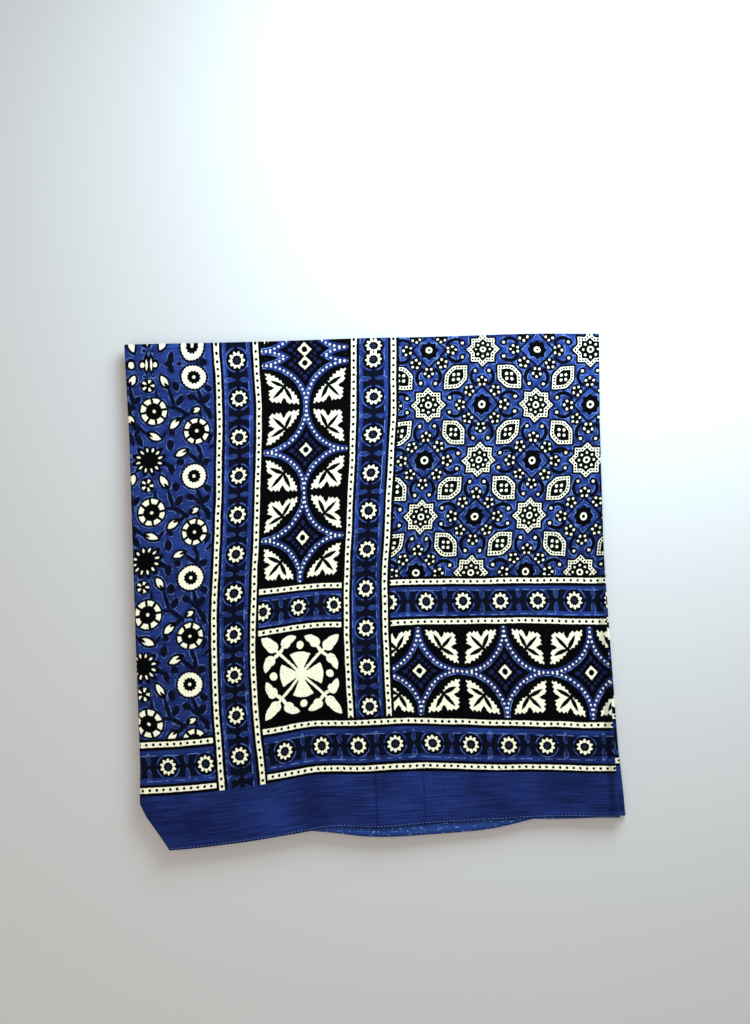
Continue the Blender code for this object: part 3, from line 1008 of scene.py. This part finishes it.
def noise(place, width, height, detail=2.0):
    """Smooth noise with lumps about so wide and high, in millimetres."""
    node = place.tree.nodes.new("ShaderNodeTexNoise")
    node.noise_dimensions = "2D"
    node.inputs["Scale"].default_value = 1.0
    node.inputs["Detail"].default_value = detail
    place.tree.links.new(place.times(1.0 / width, 1.0 / height).socket, node.inputs["Vector"])
    return node


def grey(place, width, height, detail=2.0):
    """The noise as a number about 0.5."""
    return Measure(place.tree, noise(place, width, height, detail).outputs[0])


def dyed(tree, under, dye, share):
    """The colour under it, with the dye over it where the share is 1."""
    node = tree.nodes.new("ShaderNodeMix")
    node.data_type = "RGBA"
    tree.links.new(share.socket, node.inputs[0])
    if isinstance(under, tuple):
        node.inputs[6].default_value = under
    else:
        tree.links.new(under, node.inputs[6])
    node.inputs[7].default_value = dye
    return node.outputs[2]


def shaken(place, cut, wander):
    """The place moved a little, as a hand-held block smears and cloth gives."""
    tree = place.tree
    for width, shift in ((WANDER_LENGTH, wander), (SHAKE_LENGTH, SHAKE)):
        push = tree.nodes.new("ShaderNodeVectorMath")
        push.operation = "MULTIPLY_ADD"
        tree.links.new(noise(cut, width, width, 1.0).outputs[1], push.inputs[0])
        push.inputs[1].default_value = (2.0 * shift, 2.0 * shift, 0.0)
        push.inputs[2].default_value = (-shift, -shift, 0.0)
        place = Place(tree, place.node("ADD", Place(tree, push.outputs[0])).outputs["Vector"])
    return place


def finish_cotton(tree, shader, cut, colour):
    """Threads as fine relief and shade on the colour, painted shade in lines along the topmost
    right fold and two old creases of the margin, and a matt finish."""
    threads = grey(cut, THREAD_LENGTH, THREAD_WIDTH, 1.0) + grey(cut, THREAD_WIDTH, THREAD_LENGTH, 1.0)
    shade = tree.nodes.new("ShaderNodeHueSaturation")
    tree.links.new(colour, shade.inputs["Color"])
    along, over = cut.parts()
    # Painted shade: darker where the topmost run curves into its right fold, and along two old creases of
    # the plain margin.
    painted_fold_shade = ((along - FOLD_SHADE_LINE).size() - 3.5).cover(4.0) * FOLD_SHADE_DARKNESS
    in_margin = (over - LEVEL_1).cover(2.0)
    # Painted shade along the two old creases, only in the plain margin.
    for line, darkness in MARGIN_CREASE_SHADES:
        painted_fold_shade = painted_fold_shade + ((along - line).size() - 1.1).cover(2.2) * in_margin * darkness
    value = threads * THREAD_SHADE + (1.0 - THREAD_SHADE) - painted_fold_shade
    tree.links.new(value.socket, shade.inputs["Value"])
    tree.links.new(shade.outputs["Color"], shader.inputs["Base Color"])
    bump = tree.nodes.new("ShaderNodeBump")
    bump.inputs["Strength"].default_value = RELIEF_STRENGTH
    bump.inputs["Distance"].default_value = THREAD_RELIEF * MM
    tree.links.new(threads.socket, bump.inputs["Height"])
    tree.links.new(bump.outputs["Normal"], shader.inputs["Normal"])
    shader.inputs["Roughness"].default_value = ROUGHNESS
    shader.inputs["Specular IOR Level"].default_value = SHINE
    shader.inputs["Sheen Weight"].default_value = SHEEN
    shader.inputs["Sheen Roughness"].default_value = SHEEN_ROUGHNESS


def printed_cotton(name, draw, wander):
    """Cotton stamped with a block. The indigo is cloudy and streaked along the cloth, with
    painted window light that makes it paler towards its middle line, and each dye lies over it
    where its shape is, frayed by fine noise and worn off in specks."""
    material, tree, shader = new_material(name)
    cut = cloth_map(tree, "cut")
    cloud = grey(cut, 70.0, 45.0, 3.0) * 1.1 + grey(cut, 40.0, 1.3, 3.0) * 1.1 - 0.6
    # Painted window light: the indigo is paler towards the middle line, at the far edge of the folded
    # cloth near the window lamp, and darker towards the hems.
    painted_window_light = (cut.parts()[1] - MIDDLE_LINE).size() * -0.0009 + 0.13
    colour = dyed(tree, INDIGO_DEEP, INDIGO_BRIGHT, cloud + painted_window_light)
    shapes = draw(shaken(cloth_map(tree, "block"), cut, wander))
    fray = grey(cut, 0.9, 0.9, 2.0) * 0.6 - 0.3
    black = shapes["black"] + fray - BLACK_SPREAD
    colour = dyed(tree, colour, SHADED_INDIGO, (shapes.get("shade", black) - 1.1).cover(2.6) * 0.7)
    if "light" in shapes:
        patchy = grey(cut, 7.0, 7.0, 2.0) * 7.0 - 3.1
        patchy.socket.node.use_clamp = True
        share = (shapes["light"] + fray).cover(EDGE_SOFTNESS) * patchy * 0.8
        colour = dyed(tree, colour, LIGHT_INDIGO, share)
    if "dusk" in shapes:
        colour = dyed(tree, colour, DUSK_DYE, (shapes["dusk"] + fray - BLACK_SPREAD).cover(0.9))
    colour = dyed(tree, colour, BLACK_DYE, black.cover(EDGE_SOFTNESS))
    for key, dye in (("dim", VIOLET_BLACK), ("haze", HAZE)):
        if key in shapes:
            colour = dyed(tree, colour, dye, (shapes[key] + fray).cover(EDGE_SOFTNESS))
    bare = (shapes["white"] + fray + BARE_LOSS).cover(EDGE_SOFTNESS)
    specks = (grey(cut, 1.7, 1.3, 2.0) * 9.0 - 6.5).cover(1.0)
    colour = dyed(tree, colour, BARE_COTTON, bare * specks)
    finish_cotton(tree, shader, cut, colour)
    return material


def cotton_back(name):
    """The wrong side, where the dye came through unevenly and left pale flecks."""
    material, tree, shader = new_material(name)
    cut = cloth_map(tree, "cut")
    flecks = grey(cut, 4.0, 2.2, 3.0) * 8.0 - 4.9
    flecks.socket.node.use_clamp = True
    finish_cotton(tree, shader, cut, dyed(tree, BACK_INDIGO, BACK_FLECKS, flecks))
    return material


cloth_mesh = weave_sheet("printed_cloth", folded_sheet)
for block_name in BLOCKS:
    draw_block, wander = DRAWINGS[block_name]
    cloth_mesh.materials.append(printed_cotton("cotton_" + block_name, draw_block, wander))
cloth_mesh.materials.append(cotton_back("cotton_back"))
cloth = put_in_scene("printed_cloth", cloth_mesh)
hem = cloth.vertex_groups.new(name="hem")
at_hem = (folded_sheet.over <= HEM_WIDTH) | (folded_sheet.over >= CLOTH_WIDTH - HEM_WIDTH)
hem.add(np.flatnonzero(at_hem.ravel()).tolist(), 1.0, "REPLACE")
body = cloth.modifiers.new("thickness", "SOLIDIFY")
body.thickness = HEM_SHEET * MM
body.offset = 0.0
body.use_even_offset = True
body.vertex_group = "hem"
body.thickness_vertex_group = SHEET / HEM_SHEET
body.material_offset = len(BLOCKS)
body.material_offset_rim = 0

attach(cloth, "root")
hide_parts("cloth")

# The stitches that hold the rolled hem: a running stitch of pale thread near its inner edge,
# on the printed side of both hems.
STITCH_PITCH, STITCH_LENGTH, STITCH_HALF_WIDTH = 3.4, 2.3, 0.22
STITCH_RISE, STITCH_DEPTH = 0.16, 0.1
STITCH_FROM_EDGE, STITCH_MARGIN = 3.3, 4.0
THREAD_BLUE = (0.16, 0.26, 0.58, 1.0)


def stitched_line(sheet, edge, inner, way, places):
    """Points of the hem's outer face and its normals, at places along the stitched line. The
    line lies by a fixed share between the grid's edge column and the column inside it, and
    the face lies half the hem's thickness out along the normal."""
    share = STITCH_FROM_EDGE / HEM_WIDTH
    grids = (sheet.right, sheet.up, sheet.height, sheet.normal_right, 0 * sheet.right, sheet.normal_up)
    lines = [grid[:, edge] + (grid[:, inner] - grid[:, edge]) * share for grid in grids]
    values = np.stack([np.interp(places, sheet.along[:, edge], line) for line in lines], axis=-1)
    normal = values[:, 3:] * way
    return values[:, :3] + normal * (HEM_SHEET / 2), normal


def sew_hem(name, sheet):
    """One mesh of small closed lozenges, six corners each: two ends, two sides, a top and a
    base. The middles lie on the hem's outer face, spaced evenly along the cloth."""
    corners, faces = [], []
    for side_columns in ((0, 1, 1.0), (-1, -2, -1.0)):
        along = sheet.along[:, side_columns[0]]
        start = np.arange(along[0] + STITCH_MARGIN, along[-1] - STITCH_MARGIN, STITCH_PITCH)
        first, _ = stitched_line(sheet, *side_columns, start)
        last, _ = stitched_line(sheet, *side_columns, start + STITCH_LENGTH)
        middle, normal = stitched_line(sheet, *side_columns, start + STITCH_LENGTH / 2)
        length = last - first
        side = np.cross(normal, length)
        side = side / np.linalg.norm(side, axis=1)[:, None] * STITCH_HALF_WIDTH
        top, base = middle + normal * STITCH_RISE, middle - normal * STITCH_DEPTH
        count = sum(len(part) for part in corners)
        six = np.stack([first, middle + side, last, middle - side, top, base], axis=1)
        corners.append(six.reshape(-1, 3))
        pattern = np.array([(0, 3, 4), (3, 2, 4), (2, 1, 4), (1, 0, 4),
                            (3, 0, 5), (2, 3, 5), (1, 2, 5), (0, 1, 5)])
        offsets = count + 6 * np.arange(len(start))[:, None, None]
        faces.append((pattern + offsets).reshape(-1, 3))
    mesh = bpy.data.meshes.new(name)
    mesh.from_pydata((np.concatenate(corners) * MM).tolist(), [], np.concatenate(faces).tolist())
    return mesh


def cotton_thread(name):
    """Pale blue thread, a little uneven in colour."""
    material, tree, shader = new_material(name)
    place = tree.nodes.new("ShaderNodeTexCoord")
    grain = tree.nodes.new("ShaderNodeTexNoise")
    grain.inputs["Scale"].default_value = 400.0
    tree.links.new(place.outputs["Object"], grain.inputs["Vector"])
    colour = dyed(tree, THREAD_BLUE, BACK_FLECKS, Measure(tree, grain.outputs[0]) * 0.5)
    tree.links.new(colour, shader.inputs["Base Color"])
    shader.inputs["Roughness"].default_value = 0.8
    return material


stitch_mesh = sew_hem("hem_stitches", folded_sheet)
stitch_mesh.materials.append(cotton_thread("thread"))
stitches = put_in_scene("hem_stitches", stitch_mesh)
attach(stitches, "root")
